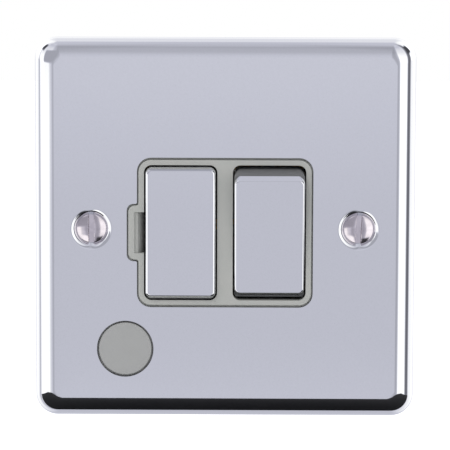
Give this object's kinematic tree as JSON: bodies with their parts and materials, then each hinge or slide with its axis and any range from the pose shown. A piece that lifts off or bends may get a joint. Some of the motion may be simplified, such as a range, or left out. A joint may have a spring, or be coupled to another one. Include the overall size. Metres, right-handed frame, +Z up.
{
  "type": "fused spur unit",
  "caption": "Switched fused spur unit on a square pressed metal plate, with a pull-out fuse carrier, a rocker switch and a blanked flex outlet.",
  "frame": {"origin": "in the wall plane, midway between the two fixing screws", "axes": "+Y into the wall, the front faces -Y; +X to the right as seen from the front; +Z up"},
  "size_m": [0.086, 0.0356, 0.086],
  "materials": {
    "chrome_plate": "polished chrome plate on pressed steel",
    "chrome_screws": "polished chrome plate on turned steel",
    "light_grey_moulding": "light grey moulded thermoset, satin",
    "grey_blank": "grey moulded plastic, satin",
    "dark_grey_moulding": "dark grey moulded plastic, satin",
    "housing_moulding": "mid grey moulded thermoset, fine matt",
    "zinc_steel": "bright zinc plated steel",
    "terminal_brass": "machined brass",
    "plated_screw": "nickel plated steel",
    "strip_brass": "stamped brass and phosphor bronze strip",
    "silver_contact": "silver contact rivets",
    "fuse_ceramic": "unglazed white ceramic",
    "fuse_cap_metal": "nickel plated brass caps",
    "spring_steel": "drawn spring wire"
  },
  "bodies": {
    "fixed": {"front_plate": "chrome_plate", "fixing_screw_left": "chrome_screws", "fixing_screw_right": "chrome_screws", "insert_moulding": "light_grey_moulding", "flex_outlet_blank": "grey_blank", "cord_clamp_bar": "dark_grey_moulding", "rear_housing": "housing_moulding", "weld_studs": "zinc_steel", "stud_washers": "zinc_steel", "stud_nuts": "zinc_steel", "earth_strap_supply": "zinc_steel", "earth_strap_load": "zinc_steel", "housing_screws": "zinc_steel", "cord_clamp_screws": "zinc_steel", "earth_supply_terminal": "terminal_brass", "line_supply_terminal": "terminal_brass", "neutral_supply_terminal": "terminal_brass", "line_load_terminal": "terminal_brass", "neutral_load_terminal": "terminal_brass", "earth_load_terminal": "terminal_brass", "terminal_screws": "plated_screw", "line_supply_contact": "strip_brass", "neutral_supply_contact": "strip_brass", "line_link": "strip_brass", "neutral_link": "strip_brass", "line_load_contact": "strip_brass", "fuse_clip_upper": "strip_brass", "fuse_clip_lower": "strip_brass", "fixed_contact_tips": "silver_contact"},
    "rocker": {"rocker": "dark_grey_moulding", "rocker_cap": "chrome_plate", "plunger_spring_line": "spring_steel", "plunger_spring_neutral": "spring_steel"},
    "plunger_line": {"plunger_line": "terminal_brass"},
    "plunger_neutral": {"plunger_neutral": "terminal_brass"},
    "contact_line": {"contact_arm_line": "strip_brass", "contact_tip_line": "silver_contact"},
    "contact_neutral": {"contact_arm_neutral": "strip_brass", "contact_tip_neutral": "silver_contact"},
    "fuse_carrier": {"fuse_carrier": "dark_grey_moulding", "fuse_carrier_cap": "chrome_plate", "fuse_tube": "fuse_ceramic", "fuse_end_caps": "fuse_cap_metal"}
  },
  "joints": [
    {"name": "rocker_swing", "type": "hinge", "parent": "fixed", "child": "rocker", "pos_m": [0.01, -0.0026, -0.0008], "axis": [-1, 0, 0], "range_deg": [0, 16]},
    {"name": "plunger_line_press", "type": "slide", "parent": "rocker", "child": "plunger_line", "axis": [0, -0.9903, -0.1392], "range_m": [0, 0.0008], "stiffness_N_per_m": 400, "springref_m": -0.002, "deforming": ["plunger_spring_line"]},
    {"name": "plunger_neutral_press", "type": "slide", "parent": "rocker", "child": "plunger_neutral", "axis": [0, -0.9903, -0.1392], "range_m": [0, 0.0008], "stiffness_N_per_m": 400, "springref_m": -0.002, "deforming": ["plunger_spring_neutral"]},
    {"name": "contact_line_swing", "type": "hinge", "parent": "fixed", "child": "contact_line", "pos_m": [0.0054, 0.0093, -0.0008], "axis": [1, 0, 0], "range_deg": [0, 20]},
    {"name": "contact_neutral_swing", "type": "hinge", "parent": "fixed", "child": "contact_neutral", "pos_m": [0.0146, 0.0093, -0.0008], "axis": [1, 0, 0], "range_deg": [0, 20]},
    {"name": "fuse_carrier_slide", "type": "slide", "parent": "fixed", "child": "fuse_carrier", "axis": [0, -1, 0], "range_m": [0, 0.02]}
  ],
  "couplings": [
    {"joint": "contact_line_swing", "follows": "rocker_swing", "ratio": 1.25},
    {"joint": "contact_neutral_swing", "follows": "rocker_swing", "ratio": 1.25}
  ]
}
